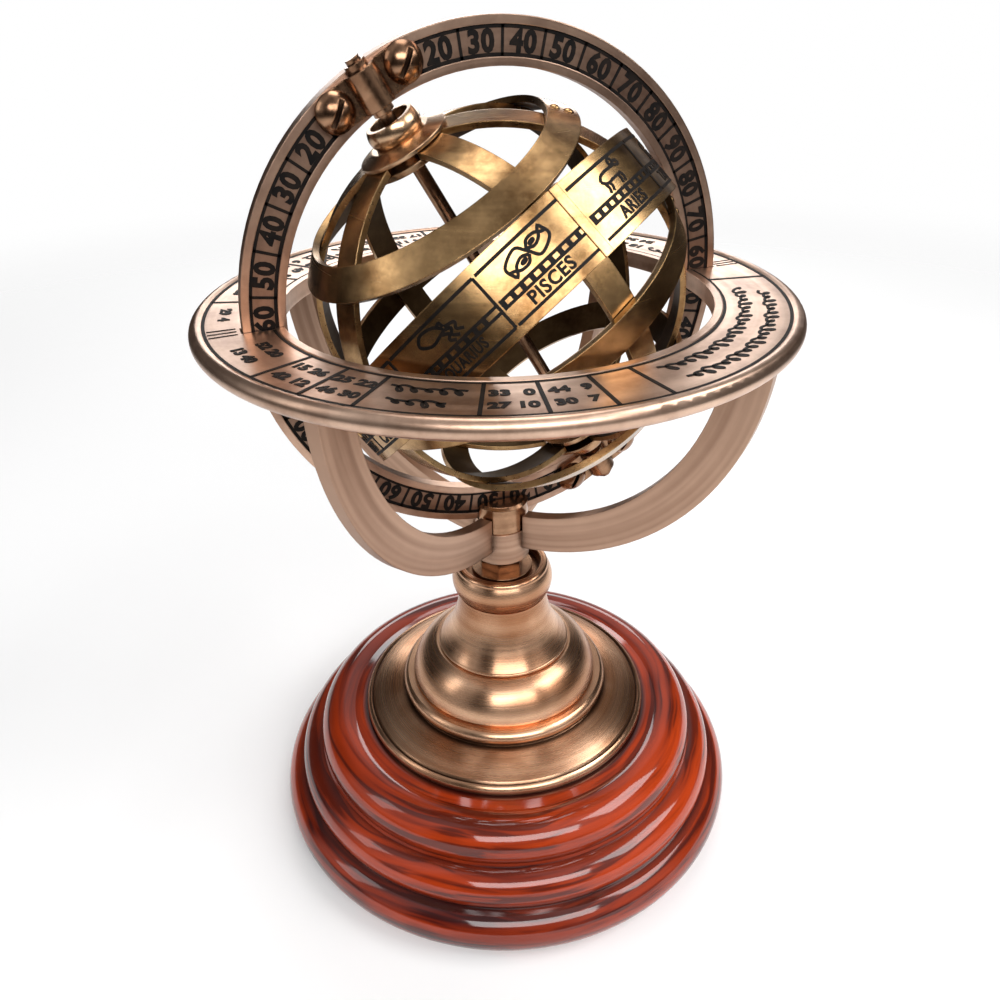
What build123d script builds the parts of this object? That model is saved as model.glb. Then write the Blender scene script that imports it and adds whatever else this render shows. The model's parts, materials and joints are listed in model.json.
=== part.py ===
from build123d import *
import os
from math import cos, radians, sin, sqrt

# Desk armillary sphere (celestial globe). Millimetres, +Z up. The origin is the middle of the underside.
# The meridian ring stands in the XZ plane and its numbered front face looks towards -Y.

# ---- wooden base, from the foot flange outwards ------------------------------------------------
FELT_INSET = 5.0             # felt pad's edge inside the widest bead
FELT_T = 0.8
WOOD_H = 19.7                # height of the wood alone
ROLL_W = 10.1                # top roll, beyond the foot flange
STEP_W = 4.2                 # middle step, beyond the top roll
BEAD_W = 3.2                 # bottom bead, beyond the middle step
BEAD_H = 7.6
STEP_H = 6.0
GROOVE = 0.7                 # depth of the grooves between the rolls
BEAD_FOOT = 1.6              # bead's underside inside its widest radius
BEAD_EASE = 0.6              # bead's top beyond the middle step
WOOD_SEAT = 1.0              # flat seat beyond the foot flange

# ---- brass foot, neck and collar, from the neck outwards ---------------------------------------
NECK_TOP_R = 8.3
NECK_FLARE = 4.2
NECK_H = 11.4
DOME_W = 5.3                 # dome, beyond the foot of the neck
DOME_H = 7.2
RING_BEAD_W = 2.1            # ring bead, beyond the dome
RING_BEAD_H = 2.8
FOOT_SLOPE_W = 7.6           # sloping flange, beyond the ring bead
FOOT_SLOPE_H = 2.0
FOOT_RIM_H = 1.9
FOOT_GROOVE = 0.35           # depth of the fine groove inside the rim
DOME_LIP = 0.5
NECK_LIP = 0.7
COLLAR_BULGE = 0.8           # how far the collar's bead stands out
COLLAR_H = 6.4
COLLAR_WALL = 1.3            # wall of the cup in the collar's top
COLLAR_CUP_H = 1.8
CUP_TAPER = 0.4              # cup's floor inside its mouth

# ---- fastenings --------------------------------------------------------------------------------
BOLT_R = 2.5                 # M5 bolt up through the wood and the foot into the neck
BOLT_HEAD_H = 3.5
BOLT_HEAD_AF = 8.0
BOLT_WASHER_R = 7.5
BOLT_WASHER_T = 1.0
BOLT_POCKET_H = 6.2          # depth of the pocket for the bolt head in the wood
POCKET_GAP = 0.5             # round the washer, in the pocket
BOLT_GRIP = 5.2              # thread of the bolt inside the neck
STUD_R = 2.0                 # M4 stud of the fork, down into the neck
STUD_GRIP = 3.6              # thread of the stud inside the neck
SPACER_GAP = 1.2             # round the spacer washer, in the collar's cup
SPACER_T = 1.1
NUT_AF = 7.0
NUT_H = 2.9
BOLT_GAP = 0.1               # radial gap of a bolt in a plain hole
THREAD_GAP = 0.02            # radial gap between a thread's outside and its hole
THREAD_END = 0.3             # hole beyond the end of a thread

# ---- celestial cage ----------------------------------------------------------------------------
ROD_R = 1.0
ROD_FIT = 0.05               # radial running clearance of the rod in a sleeve
ROD_END = 0.6                # rod beyond the outer end of a sleeve
HOOP_DIRECTIONS = (24.0, 108.0, 155.0)   # three hoops, each of two ribs, degrees
RIB_R = 27.9                 # outer radius of the ribs
RIB_T = 0.9
RIB_W = 4.4
SEAT_GAP = 0.05              # solder gap between the ribs and what lies on them
BAND_T = 1.0
EQUATOR_W = 4.2
BAND_W = 4.7
BAND_LATITUDE = 44.8
ZODIAC_T = 0.8
ZODIAC_W = 10.6
ZODIAC_TILT = 29.0           # the band's tilt from the equator, as it was soldered
ZODIAC_NORMAL = 102.5        # direction towards which the ecliptic's pole leans, degrees
SPIGOT_R = 2.6
RIB_END_GAP = 3.2            # from the spigot to the ends of the ribs, under the pole caps
CAP_LAP = 0.8                # the pole cap's edge beyond the ends of the ribs
CAP_RIM_T = 0.5
CAP_H = 1.25
BOSS_R = 3.9
BOSS_H = 2.6
BOSS_CUP_R = 2.9
BOSS_CUP_H = 1.8
SPIGOT_END = 0.3             # spigot beyond the pole washer
POLE_WASHER_LAP = 0.4
POLE_WASHER_T = 0.8
RIVET_R = 0.75
RIVET_HEAD_H = 0.35
RIVET_PITCH = 2.0            # between the two rivets of a lap joint, across the band
LAP_DIRECTION = 342.0        # where the bands' lap joints lie, degrees

# ---- meridian ring and its pivots --------------------------------------------------------------
SPHERE_GAP = 2.1             # between the spinning sphere and the meridian ring
MERIDIAN_W = 6.2
MERIDIAN_T = 2.2
MERIDIAN_RIM = 1.15          # width of the raised edges beside the scale
SCALE_DEPTH = 0.25
SLIDE_GAP = 0.15             # side gap of the meridian ring in its slots
RIM_GAP = 0.25               # gap outside the meridian ring's edge
POLE_TILT = 30.0             # polar axis from the vertical, towards -X
SLEEVE_WALL = 0.45
SLEEVE_SINK = 0.9            # how deep the sleeve lies in the ring's face
SLEEVE_OVERHANG = 0.4        # sleeve beyond the ring's edges
STRAP_T = 0.8
STRAP_MARGIN = 0.5           # bare face on each side of a strap
SCREW_HEAD_R = 2.7
SCREW_HEAD_H = 1.7
SCREW_R = 1.0
SCREW_GAP = 0.5              # between a screw head and the strap's bridge
SCREW_SLOT_W = 0.7
SCREW_SLOT_D = 0.7
SCREW_SLOT_TURN = 35.0

# ---- cradle, fork and horizon ring -------------------------------------------------------------
MERIDIAN_DROP = 0.6          # meridian ring's centre below the horizon's face
HORIZON_T = 2.5
HORIZON_GAP = 0.9            # between the spinning sphere and the horizon ring's hole
HORIZON_LEDGE = 2.1          # horizon ring beyond the cradle
HORIZON_OUTER_RIM = 2.0      # width of the round outer rim
HORIZON_INNER_RIM = 1.4
RIM_RISE = 0.3               # how far the rims stand above the face
CRADLE_W = 6.5               # radial width of the half rings of the cradle
CRADLE_T = 2.2
CRADLE_YAW = -52.5           # direction of the first half ring, degrees from +X
CRADLE_FOOT = 2.35           # cradle's boss below its half rings
CRADLE_BOSS_R = 5.0
CRADLE_BOSS_H = 6.15
FORK_INSET = 0.2             # fork's edge inside the cradle's boss
FORK_CHAMFER = 0.5
FORK_FLOOR_T = 1.9           # metal under the fork's slot
FORK_CHEEK_H = 3.4           # how far the fork's cheeks stand beside the meridian ring

# ---- radii of the stand ------------------------------------------------------------------------
neck_foot_r = NECK_TOP_R + NECK_FLARE
dome_r = neck_foot_r + DOME_W
ring_bead_r = dome_r + RING_BEAD_W
foot_r = ring_bead_r + FOOT_SLOPE_W
roll_r = foot_r + ROLL_W
step_r = roll_r + STEP_W
wood_r = step_r + BEAD_W
waist_r = NECK_TOP_R + 0.2
cup_r = waist_r - COLLAR_WALL
spacer_r = cup_r - CUP_TAPER - SPACER_GAP

# ---- heights up the stand ----------------------------------------------------------------------
wood_top = FELT_T + WOOD_H
rim_top = wood_top + FOOT_RIM_H
bead_foot = rim_top + FOOT_SLOPE_H
foot_top = bead_foot + RING_BEAD_H
dome_top = foot_top + DOME_H
neck_top = dome_top + NECK_H
collar_top = neck_top + COLLAR_H
cup_floor = collar_top - COLLAR_CUP_H
spacer_top = cup_floor + SPACER_T
nut_top = spacer_top + NUT_H
fork_seat = nut_top + CRADLE_BOSS_H

# ---- radii of the sphere and its rings ---------------------------------------------------------
rib_end_x = SPIGOT_R + RIB_END_GAP
cap_r = rib_end_x + CAP_LAP
pole_washer_r = rib_end_x + POLE_WASHER_LAP
cap_foot = sqrt(RIB_R ** 2 - rib_end_x ** 2) + SEAT_GAP
boss_foot = cap_foot + CAP_H
washer_top = sqrt((RIB_R - RIB_T) ** 2 - pole_washer_r ** 2) - SEAT_GAP
band_in = sqrt(RIB_R ** 2 + (RIB_W / 2) ** 2) + SEAT_GAP
equator_out = band_in + BAND_T
zodiac_in = sqrt(equator_out ** 2 + (EQUATOR_W / 2) ** 2) + SEAT_GAP
sphere_r = sqrt((zodiac_in + ZODIAC_T) ** 2 + (ZODIAC_W / 2) ** 2)
sleeve_r = ROD_R + ROD_FIT + SLEEVE_WALL
axis_y = -(MERIDIAN_T / 2 + sleeve_r - SLEEVE_SINK)
meridian_in = sphere_r + SPHERE_GAP
meridian_r = meridian_in + MERIDIAN_W
meridian_mid = meridian_in + MERIDIAN_W / 2
strap_w = MERIDIAN_W - 2 * STRAP_MARGIN
screw_pitch = 2 * (sleeve_r + STRAP_T + SCREW_GAP + SCREW_HEAD_R)
slot_half = MERIDIAN_T / 2 + SLIDE_GAP
slot_r = meridian_r + RIM_GAP

# ---- heights and radii of the rings on the stand -----------------------------------------------
centre_z = fork_seat + FORK_FLOOR_T + slot_r
fork_top = fork_seat + FORK_FLOOR_T + FORK_CHEEK_H
horizon_face = centre_z + MERIDIAN_DROP
horizon_foot = horizon_face - HORIZON_T
cradle_z = horizon_foot + HORIZON_T / 2
cradle_r = cradle_z - nut_top - CRADLE_FOOT
horizon_r = cradle_r + HORIZON_LEDGE
horizon_hole_r = sphere_r - axis_y + HORIZON_GAP

polar = Pos(0, 0, centre_z) * Rot(0, -POLE_TILT, 0)
cage = polar * Pos(0, axis_y, 0)
ecliptic = Rot(0, 0, ZODIAC_NORMAL) * Rot(0, ZODIAC_TILT, 0)


def turned(*edges):
    """A solid of revolution about Z from a closed outline drawn as (radius, height)."""
    return revolve(Plane.XZ * make_face(edges), Axis.Z, 360)


def ring(outer, inner, low, high):
    """A flat ring or tube about Z between two heights."""
    return Pos(0, 0, low) * extrude(Circle(outer) - Circle(inner), high - low)


def rod(radius, low, high):
    return Pos(0, 0, low) * extrude(Circle(radius), high - low)


def hexagon(across_flats, low, high):
    outline = RegularPolygon(across_flats / 2, 6, major_radius=False)
    return Pos(0, 0, low) * extrude(outline, high - low)


def wheel(outer, inner, thickness):
    """A ring in the XZ plane, centred on the origin."""
    return Rot(90, 0, 0) * ring(outer, inner, -thickness / 2, thickness / 2)


def disc(radius, thickness):
    """A disc in the XZ plane, centred on the origin."""
    return Rot(90, 0, 0) * rod(radius, -thickness / 2, thickness / 2)


def round_head(radius, height):
    """A domed head on Z = 0: the cap of a ball."""
    ball = (radius ** 2 + height ** 2) / (2 * height)
    above = Pos(0, 0, ball) * Box(4 * ball, 4 * ball, 2 * ball)
    return Pos(0, 0, height - ball) * Sphere(ball) & above


def wood_base():
    """Bottom bead, middle step and top roll, with grooves between them, and a seat for the brass foot."""
    low = FELT_T
    bead = low + BEAD_H
    step = bead + STEP_H
    bead_in = step_r + BEAD_EASE
    step_in = step_r - GROOVE
    roll_in = roll_r - GROOVE
    seat_r = foot_r + WOOD_SEAT
    outline = turned(
        Line((0, low), (wood_r - BEAD_FOOT, low)),
        ThreePointArc((wood_r - BEAD_FOOT, low), (wood_r, low + 0.52 * BEAD_H), (bead_in, bead)),
        Line((bead_in, bead), (step_in, bead + 0.3)),
        ThreePointArc((step_in, bead + 0.3), (step_r - 0.5, bead + 0.45 * STEP_H), (roll_in + 0.3, step)),
        Line((roll_in + 0.3, step), (roll_in, step + 0.4)),
        ThreePointArc((roll_in, step + 0.4), (roll_r - 1.0, step + 3.4), (seat_r + 1.6, wood_top - 0.35)),
        Line((seat_r + 1.6, wood_top - 0.35), (seat_r, wood_top)),
        Line((seat_r, wood_top), (0, wood_top)),
        Line((0, wood_top), (0, low)),
    )
    pocket = rod(BOLT_WASHER_R + POCKET_GAP, low, low + BOLT_POCKET_H)
    return outline - rod(BOLT_R + BOLT_GAP, low, wood_top) - pocket


def foot_flange():
    """The brass foot: a rim, a fine groove, a sloping flange and the ring bead under the dome."""
    lip = foot_r - 0.7
    slope = foot_r - 1.5
    slope_mid = ((foot_r + ring_bead_r) / 2 - 0.7, rim_top + 0.62 * FOOT_SLOPE_H)
    neck_line = ring_bead_r - 0.6
    bead_mid = (ring_bead_r, bead_foot + 0.5 * RING_BEAD_H)
    body = turned(
        Line((0, wood_top), (foot_r - 0.2, wood_top)),
        ThreePointArc((foot_r - 0.2, wood_top), (foot_r, wood_top + 0.6 * FOOT_RIM_H), (lip, rim_top)),
        Line((lip, rim_top), (lip - 0.4, rim_top - FOOT_GROOVE)),
        Line((lip - 0.4, rim_top - FOOT_GROOVE), (slope, rim_top + 0.1)),
        ThreePointArc((slope, rim_top + 0.1), slope_mid, (neck_line + 0.3, bead_foot)),
        Line((neck_line + 0.3, bead_foot), (neck_line, bead_foot + 0.2)),
        ThreePointArc((neck_line, bead_foot + 0.2), bead_mid, (neck_line - 0.3, foot_top)),
        Line((neck_line - 0.3, foot_top), (0, foot_top)),
        Line((0, foot_top), (0, wood_top)),
    )
    return body - rod(BOLT_R + BOLT_GAP, wood_top, foot_top)


def foot_dome():
    crown = neck_foot_r + 0.5
    swell = (dome_r - 1.5, foot_top + 0.62 * DOME_H)
    body = turned(
        Line((0, foot_top), (dome_r - DOME_LIP, foot_top)),
        Line((dome_r - DOME_LIP, foot_top), (dome_r, foot_top + DOME_LIP)),
        ThreePointArc((dome_r, foot_top + DOME_LIP), swell, (crown, dome_top)),
        Line((crown, dome_top), (0, dome_top)),
        Line((0, dome_top), (0, foot_top)),
    )
    return body - rod(BOLT_R + BOLT_GAP, foot_top, dome_top)


def neck():
    """The flared neck: a lip at its foot, a hollow curve, and a blind thread at each end."""
    lip_r = neck_foot_r - 0.3
    lip_top = dome_top + NECK_LIP
    waist = (NECK_TOP_R + 1.0, dome_top + 0.5 * NECK_H)
    body = turned(
        Line((0, dome_top), (lip_r, dome_top)),
        ThreePointArc((lip_r, dome_top), (neck_foot_r, dome_top + NECK_LIP / 2), (lip_r, lip_top)),
        ThreePointArc((lip_r, lip_top), waist, (NECK_TOP_R, neck_top)),
        Line((NECK_TOP_R, neck_top), (0, neck_top)),
        Line((0, neck_top), (0, dome_top)),
    )
    body -= rod(BOLT_R + THREAD_GAP, dome_top, dome_top + BOLT_GRIP + THREAD_END)
    return body - rod(STUD_R + THREAD_GAP, neck_top - STUD_GRIP - THREAD_END, neck_top)


def collar():
    """The collar: a bulging bead with a shallow cup in its top for the washer and the nut."""
    shoulder = collar_top - 0.8
    brim = waist_r - 0.7
    bulge = (waist_r + COLLAR_BULGE, neck_top + 0.5 * COLLAR_H)
    body = turned(
        Line((0, neck_top), (waist_r - 0.4, neck_top)),
        Line((waist_r - 0.4, neck_top), (waist_r, neck_top + 0.5)),
        ThreePointArc((waist_r, neck_top + 0.5), bulge, (waist_r, shoulder)),
        ThreePointArc((waist_r, shoulder), (waist_r - 0.2, collar_top - 0.2), (brim, collar_top)),
        Line((brim, collar_top), (cup_r, collar_top)),
        Line((cup_r, collar_top), (cup_r - CUP_TAPER, cup_floor)),
        Line((cup_r - CUP_TAPER, cup_floor), (0, cup_floor)),
        Line((0, cup_floor), (0, neck_top)),
    )
    return body - rod(STUD_R + THREAD_GAP, neck_top, cup_floor)


def tie_bolt():
    head_top = FELT_T + BOLT_POCKET_H - BOLT_WASHER_T
    shank = rod(BOLT_R, head_top - BOLT_HEAD_H / 2, dome_top + BOLT_GRIP)
    return hexagon(BOLT_HEAD_AF, head_top - BOLT_HEAD_H, head_top) + shank


def cradle():
    """Two crossed half rings on a boss, cut level under the horizon ring."""
    arms = Part()
    for quarter in range(2):
        arms += Rot(0, 0, CRADLE_YAW + 90 * quarter) * wheel(cradle_r, cradle_r - CRADLE_W, CRADLE_T)
    arms = Pos(0, 0, cradle_z) * arms
    arms += rod(CRADLE_BOSS_R, nut_top, fork_seat + 1)
    arms -= rod(2 * cradle_r, horizon_foot, horizon_foot + 2 * cradle_r)
    arms -= rod(CRADLE_BOSS_R + 0.1, fork_seat, centre_z)
    return arms - rod(STUD_R + THREAD_GAP, nut_top, fork_seat)


def fork_stud():
    """A round head with a curved slot for the meridian ring, on a stud that goes down into the neck."""
    head = rod(CRADLE_BOSS_R - FORK_INSET, fork_seat, fork_top)
    head = chamfer(head.edges().sort_by(Axis.Z)[-1], FORK_CHAMFER)
    head = head - Pos(0, 0, centre_z) * disc(slot_r, 2 * slot_half)
    return head + rod(STUD_R, neck_top - STUD_GRIP, fork_seat + FORK_FLOOR_T / 2)


def horizon_ring():
    """A flat ring with a round outer rim, a low inner rim, and two slots for the meridian ring."""
    rim_in = horizon_r - HORIZON_OUTER_RIM
    edge = horizon_r - 0.5
    widest = (horizon_r, horizon_foot + 0.5 * HORIZON_T)
    inner_rim = horizon_hole_r + HORIZON_INNER_RIM
    low_crown = horizon_face + RIM_RISE / 2
    body = turned(
        Line((horizon_hole_r, horizon_foot), (horizon_r - 0.8, horizon_foot)),
        ThreePointArc((horizon_r - 0.8, horizon_foot), widest, (edge, horizon_face)),
        ThreePointArc((edge, horizon_face), (edge - 0.6, horizon_face + RIM_RISE), (rim_in, horizon_face)),
        Line((rim_in, horizon_face), (inner_rim, horizon_face)),
        Line((inner_rim, horizon_face), (inner_rim - 0.25, low_crown)),
        Line((inner_rim - 0.25, low_crown), (horizon_hole_r, low_crown)),
        Line((horizon_hole_r, low_crown), (horizon_hole_r, horizon_foot)),
    )
    return body - Pos(0, 0, horizon_face) * Box(2 * slot_r, 2 * slot_half, 4 * HORIZON_T)


def meridian_ring():
    """The numbered ring: sunk scales on both faces, a trough for the two sleeves, and four screw holes."""
    body = wheel(meridian_r, meridian_in, MERIDIAN_T)
    scale = wheel(meridian_r - MERIDIAN_RIM, meridian_in + MERIDIAN_RIM, SCALE_DEPTH)
    for side in (-1, 1):
        body -= Pos(0, side * (MERIDIAN_T - SCALE_DEPTH) / 2, 0) * scale
    body -= Pos(0, axis_y, 0) * rod(sleeve_r + THREAD_GAP, -2 * meridian_r, 2 * meridian_r)
    hole = disc(SCREW_R + THREAD_GAP, 2 * MERIDIAN_T)
    for pole in (-1, 1):
        for side in (-1, 1):
            body -= Pos(side * screw_pitch / 2, 0, pole * meridian_mid) * hole
    return polar * body


def strap(pole):
    """The bridge that holds one sleeve on the ring's front face. pole is 1 for north, -1 for south."""
    face_y = -MERIDIAN_T / 2
    crown = Pos(0, axis_y - face_y, 0)
    plate = Rot(90, 0, 0) * extrude(SlotCenterToCenter(screw_pitch, strap_w), STRAP_T)
    bridge = crown * rod(sleeve_r + STRAP_T, -strap_w / 2, strap_w / 2)
    bridge -= Pos(0, strap_w, 0) * Box(2 * strap_w, 2 * strap_w, 2 * strap_w)
    body = plate + bridge - crown * rod(sleeve_r + THREAD_GAP, -strap_w, strap_w)
    for side in (-1, 1):
        body -= Pos(side * screw_pitch / 2, 0, 0) * disc(SCREW_R + THREAD_GAP, 4 * STRAP_T)
    return polar * Pos(0, face_y, pole * meridian_mid) * body


def strap_screws():
    """Four slotted round-head screws, one solid each."""
    length = MERIDIAN_T + STRAP_T
    screw = round_head(SCREW_HEAD_R, SCREW_HEAD_H) + rod(SCREW_R, -length, SCREW_HEAD_H / 3)
    slot = Pos(0, 0, SCREW_HEAD_H) * Box(3 * SCREW_HEAD_R, SCREW_SLOT_W, 2 * SCREW_SLOT_D)
    screw -= Rot(0, 0, SCREW_SLOT_TURN) * slot
    screws = []
    for pole in (-1, 1):
        for side in (-1, 1):
            place = Pos(side * screw_pitch / 2, -MERIDIAN_T / 2 - STRAP_T, pole * meridian_mid)
            screws.append(polar * place * Rot(90, 0, 0) * screw)
    return Compound(screws)


def flipped(shape, pole):
    """A piece drawn for the north pole, turned over for the south pole when pole is -1."""
    return shape if pole > 0 else Rot(180, 0, 0) * shape


def sleeve(pole):
    low = meridian_in - SLEEVE_OVERHANG
    high = meridian_r + SLEEVE_OVERHANG
    tube = ring(sleeve_r, ROD_R + ROD_FIT, low, high)
    return cage * flipped(tube, pole)


def pole_cap(pole):
    """The flange on the ends of the ribs: a thin rim that slopes up to the boss."""
    rim = cap_foot + CAP_RIM_T
    crown = BOSS_R + 0.5
    body = turned(
        Line((SPIGOT_R, cap_foot), (cap_r, cap_foot)),
        Line((cap_r, cap_foot), (cap_r, rim)),
        Line((cap_r, rim), (crown, boss_foot)),
        Line((crown, boss_foot), (SPIGOT_R, boss_foot)),
        Line((SPIGOT_R, boss_foot), (SPIGOT_R, cap_foot)),
    )
    return cage * flipped(body, pole)


def pole_boss(pole):
    """A cupped knob on a spigot that goes through the cap and the washer, bored for the axis rod."""
    top = boss_foot + BOSS_H
    dish = top - BOSS_CUP_H
    low = washer_top - POLE_WASHER_T - SPIGOT_END
    brim = BOSS_R - 0.4
    body = turned(
        Line((ROD_R, low), (SPIGOT_R, low)),
        Line((SPIGOT_R, low), (SPIGOT_R, boss_foot)),
        Line((SPIGOT_R, boss_foot), (brim, boss_foot)),
        ThreePointArc((brim, boss_foot), (BOSS_R, boss_foot + 0.5 * BOSS_H), (brim, top)),
        Line((brim, top), (BOSS_CUP_R, top)),
        Line((BOSS_CUP_R, top), (BOSS_CUP_R, dish)),
        Line((BOSS_CUP_R, dish), (ROD_R, dish)),
        Line((ROD_R, dish), (ROD_R, low)),
    )
    return cage * flipped(body, pole)


def pole_washer(pole):
    return cage * flipped(ring(pole_washer_r, SPIGOT_R, washer_top - POLE_WASHER_T, washer_top), pole)


def rib(direction):
    """One half of a hoop, from pole to pole, that sets out from the axis in one direction."""
    hoop = wheel(RIB_R, RIB_R - RIB_T, RIB_W)
    hoop &= Pos(rib_end_x + RIB_R, 0, 0) * Box(2 * RIB_R, 2 * RIB_W, 4 * RIB_R)
    return cage * Rot(0, 0, direction) * hoop


def latitude_band(pole):
    """A conical band that lies on the ribs at one latitude."""
    middle = Pos(band_in * cos(radians(BAND_LATITUDE)), band_in * sin(radians(BAND_LATITUDE)))
    section = middle * Rot(0, 0, BAND_LATITUDE) * Pos(BAND_T / 2, 0) * Rectangle(BAND_T, BAND_W)
    return cage * flipped(revolve(Plane.XZ * section, Axis.Z, 360), pole)


def equator_ring():
    return cage * ring(equator_out, band_in, -EQUATOR_W / 2, EQUATOR_W / 2)


def zodiac_band():
    return cage * ecliptic * ring(zodiac_in + ZODIAC_T, zodiac_in, -ZODIAC_W / 2, ZODIAC_W / 2)


def band_rivets():
    """Two rivet heads side by side on each band's lap joint, one solid each."""
    radius = band_in + BAND_T
    head = Pos(0, 0, radius) * round_head(RIVET_R, RIVET_HEAD_H)
    heads = []
    for latitude in (-BAND_LATITUDE, 0, BAND_LATITUDE):
        for side in (-1, 1):
            across = Rot(0, 90 - latitude, 0) * Pos(side * RIVET_PITCH / 2, 0, 0)
            heads.append(cage * Rot(0, 0, LAP_DIRECTION) * across * head)
    return Compound(heads)


def zodiac_rivets():
    """A rivet head on the zodiac band at each of its two crossings with the equator."""
    heads = []
    for side in (-1, 1):
        place = Rot(0, 0, side * 90) * Rot(0, 90, 0) * Pos(0, 0, zodiac_in + ZODIAC_T)
        heads.append(cage * ecliptic * place * round_head(RIVET_R, RIVET_HEAD_H))
    return Compound(heads)


bolt_washer_low = FELT_T + BOLT_POCKET_H - BOLT_WASHER_T
rod_end = meridian_r + SLEEVE_OVERHANG + ROD_END
nodes = {
    "felt_pad": rod(wood_r - FELT_INSET, 0, FELT_T),
    "wood_base": wood_base(),
    "tie_bolt": tie_bolt(),
    "tie_washer": ring(BOLT_WASHER_R, BOLT_R + BOLT_GAP, bolt_washer_low, bolt_washer_low + BOLT_WASHER_T),
    "foot_flange": foot_flange(),
    "foot_dome": foot_dome(),
    "neck": neck(),
    "collar": collar(),
    "spacer_washer": ring(spacer_r, STUD_R + BOLT_GAP, cup_floor, spacer_top),
    "lock_nut": hexagon(NUT_AF, spacer_top, nut_top) - rod(STUD_R + THREAD_GAP, spacer_top, nut_top),
    "cradle": cradle(),
    "fork_stud": fork_stud(),
    "horizon_ring": horizon_ring(),
    "meridian_ring": meridian_ring(),
    "strap_screws": strap_screws(),
    "axis_rod": cage * rod(ROD_R, -rod_end, rod_end),
    "equator_ring": equator_ring(),
    "zodiac_band": zodiac_band(),
    "band_rivets": band_rivets(),
    "zodiac_rivets": zodiac_rivets(),
}
for name, pole in (("north", 1), ("south", -1)):
    nodes[name + "_strap"] = strap(pole)
    nodes[name + "_sleeve"] = sleeve(pole)
    nodes[name + "_cap"] = pole_cap(pole)
    nodes[name + "_boss"] = pole_boss(pole)
    nodes[name + "_pole_washer"] = pole_washer(pole)
    nodes[name + "_band"] = latitude_band(pole)
for number, direction in enumerate(HOOP_DIRECTIONS):
    nodes["rib_" + str(number + 1)] = rib(direction)
    nodes["rib_" + str(number + 1 + len(HOOP_DIRECTIONS))] = rib(direction + 180)

os.makedirs("parts", exist_ok=True)
for name, shape in nodes.items():
    export_step(shape, "parts/" + name + ".step")
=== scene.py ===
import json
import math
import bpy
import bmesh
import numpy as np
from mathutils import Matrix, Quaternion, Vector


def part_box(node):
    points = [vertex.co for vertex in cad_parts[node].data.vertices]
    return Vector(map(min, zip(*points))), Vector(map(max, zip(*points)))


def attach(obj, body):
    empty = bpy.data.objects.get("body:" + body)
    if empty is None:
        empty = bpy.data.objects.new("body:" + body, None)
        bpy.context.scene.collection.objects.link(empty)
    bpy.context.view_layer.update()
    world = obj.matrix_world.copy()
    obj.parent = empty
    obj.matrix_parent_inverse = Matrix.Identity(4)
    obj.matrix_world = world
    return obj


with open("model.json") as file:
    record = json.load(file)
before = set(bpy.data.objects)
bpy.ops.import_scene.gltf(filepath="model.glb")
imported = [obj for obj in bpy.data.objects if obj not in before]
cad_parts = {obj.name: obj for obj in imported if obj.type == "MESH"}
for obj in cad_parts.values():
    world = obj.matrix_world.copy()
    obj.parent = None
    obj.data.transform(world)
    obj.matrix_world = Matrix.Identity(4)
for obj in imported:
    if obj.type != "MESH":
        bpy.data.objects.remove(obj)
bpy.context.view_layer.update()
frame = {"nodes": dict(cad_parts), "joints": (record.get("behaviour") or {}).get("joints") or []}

# %% [markdown]
# A desk armillary sphere: a small celestial globe made of brass hoops. A numbered meridian ring
# carries it, a flat horizon ring and its cradle carry the meridian ring, and a turned brass
# pedestal stands on a moulded and lacquered wooden base.
# The precise model is loaded above as the frame. Its parts keep their size and their place. This
# file gives them their finish, and adds what the engraver, the enameller and the polisher add.
#
# First come the tools, and the sizes that the frame already knows, measured from its own parts.

MM = 0.001
nodes = frame["nodes"]
scene = bpy.context.scene


def half_span(node, axis):
    """Half of a part's length along one axis, in millimetres."""
    low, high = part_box(node)
    return (high[axis] - low[axis]) / 2 / MM


joints = {joint["name"]: joint for joint in frame["joints"]}
centre = np.array(joints["meridian_turn"]["pos_m"]) / MM
cage_centre = np.array([0.0, joints["sphere_spin"]["pos_m"][1] / MM, centre[2]])
meridian_r = half_span("meridian_ring", 0)
meridian_t = 2 * half_span("meridian_ring", 1)
horizon_r = half_span("horizon_ring", 0)
print("rings meet at height", round(float(centre[2]), 3), "mm")
print("meridian ring radius", round(meridian_r, 3), "horizon ring radius", round(horizon_r, 3))

# %% [markdown]
# The camera is set up as a real one would be: a place, a point to look at, a lens, and a slight
# lean of the body. The picture's perspective follows from these four.

# %% Camera
EYE = Vector((-48.28, -122.57, 143.5)) * MM
AIM = Vector((-0.12, 0.05, 64.95)) * MM
LENS = 31.16
LEAN = -0.0199

camera = bpy.data.objects.new("camera", bpy.data.cameras.new("camera"))
scene.collection.objects.link(camera)
camera.data.lens = LENS
camera.data.sensor_width = 36.0
camera.data.clip_start = 0.001
camera.data.clip_end = 60.0
gaze = (AIM - EYE).to_track_quat("-Z", "Y") @ Quaternion((0, 0, 1), LEAN)
camera.matrix_world = Matrix.Translation(EYE) @ gaze.to_matrix().to_4x4()
scene.camera = camera
print("camera", round((AIM - EYE).length / MM, 1), "mm from its aim")

# %% [markdown]
# Materials are networks of small nodes. Written as Python, they read like sums: this class wraps
# one socket, and adding or multiplying two of them puts a Math node between them. Everything
# that isn't a sum comes from one method, which takes the node's type, its settings and its values.


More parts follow.
